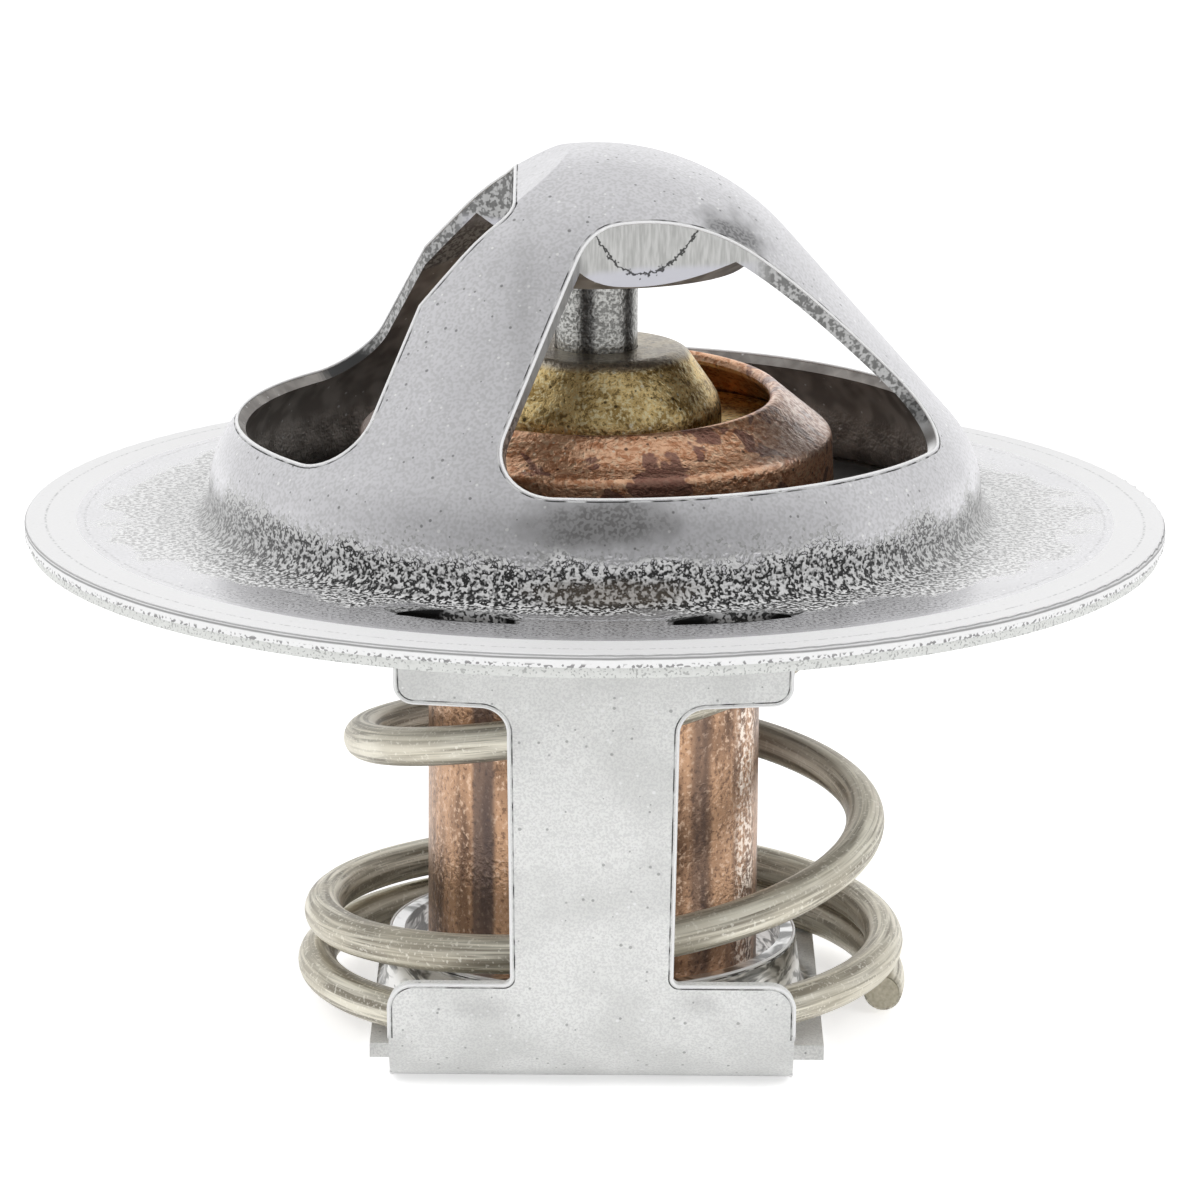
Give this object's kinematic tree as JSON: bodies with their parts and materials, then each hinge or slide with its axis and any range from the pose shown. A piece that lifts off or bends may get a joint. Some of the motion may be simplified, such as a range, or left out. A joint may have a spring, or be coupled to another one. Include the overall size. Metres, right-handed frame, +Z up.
{
  "type": "engine thermostat",
  "caption": "Wax-element engine thermostat: domed bridge on a round clamping flange, copper element with a lifting valve disc, return coil spring and a stamped lower frame.",
  "frame": {"origin": "centre of the bounding box at its bottom, on the underside of the lower frame's plate and on the valve axis", "axes": "+Z up along the valve axis towards the dome, -Y towards the front leg of the lower frame, +X to the right"},
  "size_m": [0.054, 0.054, 0.0417],
  "materials": {
    "bridge_steel": "satin pressed stainless sheet with a faint lilac cast",
    "plate_steel": "satin pressed sheet",
    "frame_zinc": "dull light grey pressed steel",
    "pin_steel": "ground steel",
    "guide_brass": "aged olive-yellow brass",
    "cup_copper": "aged copper, orange-brown with darker patches",
    "boot_rubber": "black moulded rubber",
    "wax": "wax with copper powder",
    "disc_steel": "satin pressed sheet",
    "spring_steel": "drawn wire, beige-grey"
  },
  "bodies": {
    "housing": {"bridge_flange": "bridge_steel", "seat_plate": "plate_steel", "lower_frame": "frame_zinc", "piston_pin": "pin_steel", "return_spring": "spring_steel"},
    "valve": {"element_cup": "cup_copper", "guide": "guide_brass", "rubber_boot": "boot_rubber", "wax_charge": "wax", "valve_disc": "disc_steel"}
  },
  "joints": [
    {"name": "valve_lift", "type": "slide", "parent": "housing", "child": "valve", "axis": [0, 0, -1], "range_m": [0, 0.008], "stiffness_N_per_m": 2000, "springref_m": -0.002, "deforming": ["return_spring"]}
  ]
}
